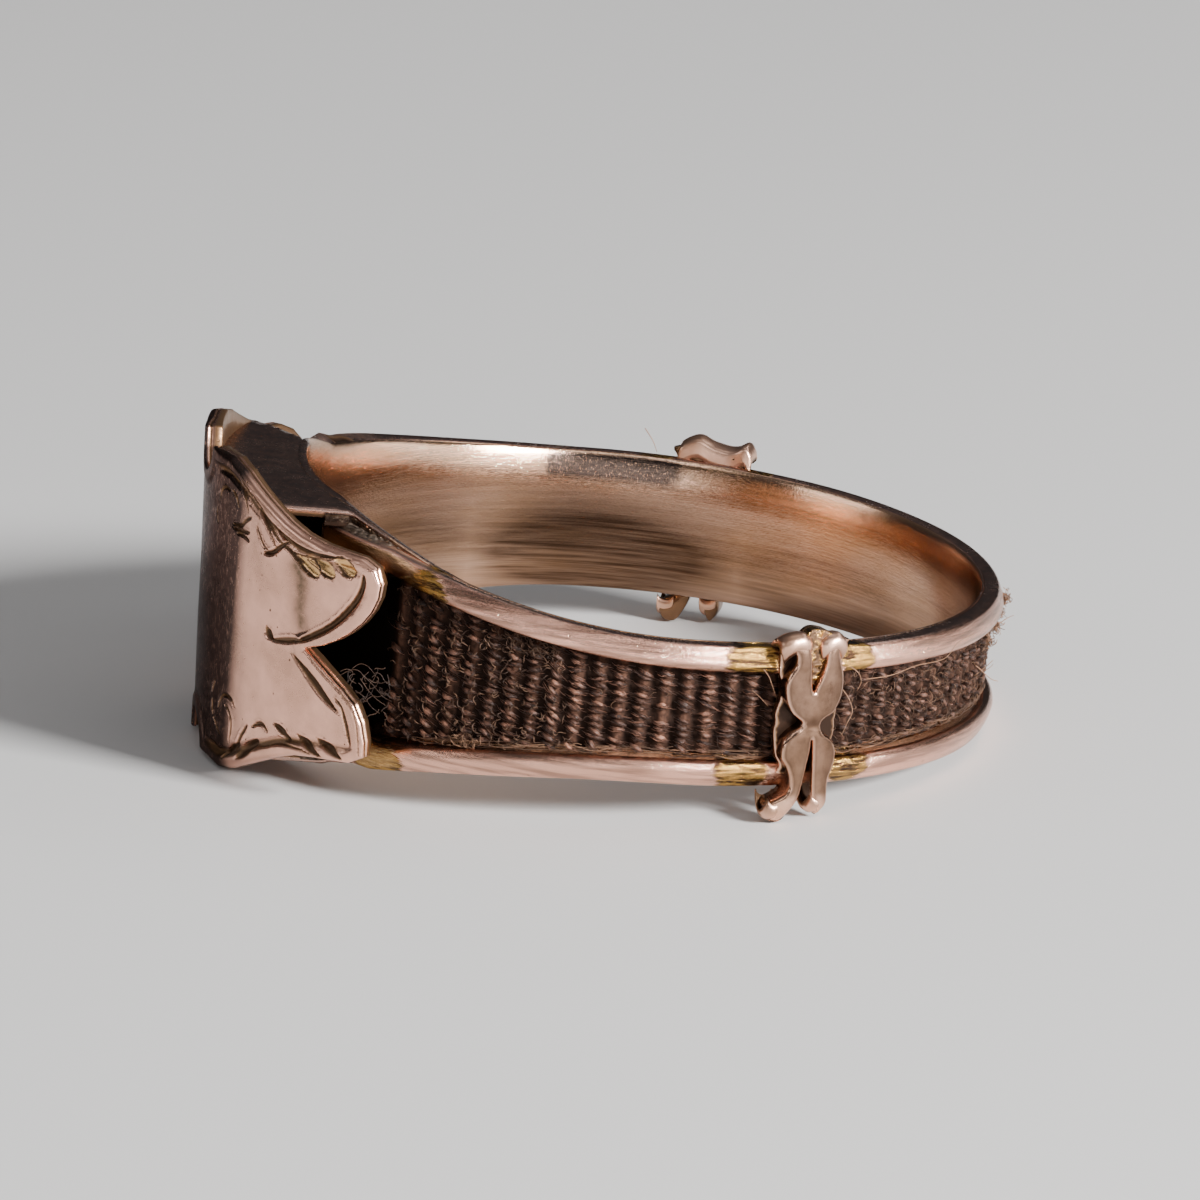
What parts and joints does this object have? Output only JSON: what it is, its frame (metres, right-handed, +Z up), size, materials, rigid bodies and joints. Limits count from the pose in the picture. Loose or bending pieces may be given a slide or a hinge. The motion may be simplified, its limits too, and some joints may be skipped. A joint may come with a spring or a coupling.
{
  "type": "hairwork ring",
  "caption": "Rose gold finger ring with an engraved shield, a channel round the band filled with a strip of woven hair, and two leaf clips over the strip.",
  "frame": {"origin": "centre of the finger hole, midway between the band's two edges", "axes": "+Z up as the ring rests on its side, +X from the shield towards the back of the band, +Y towards the far clip; the finger hole's axis leans about 6 degrees from +Z towards +X"},
  "size_m": [0.0212, 0.0196, 0.0083],
  "materials": {
    "rose_gold": "polished rose gold, worn, with fine scratches, pits and yellow solder by the clips and shield",
    "woven_hair": "finely woven brown human hair, slightly frayed"
  },
  "bodies": {
    "root": {"gold_ring": "rose_gold", "hair_weave": "woven_hair"}
  },
  "joints": []
}
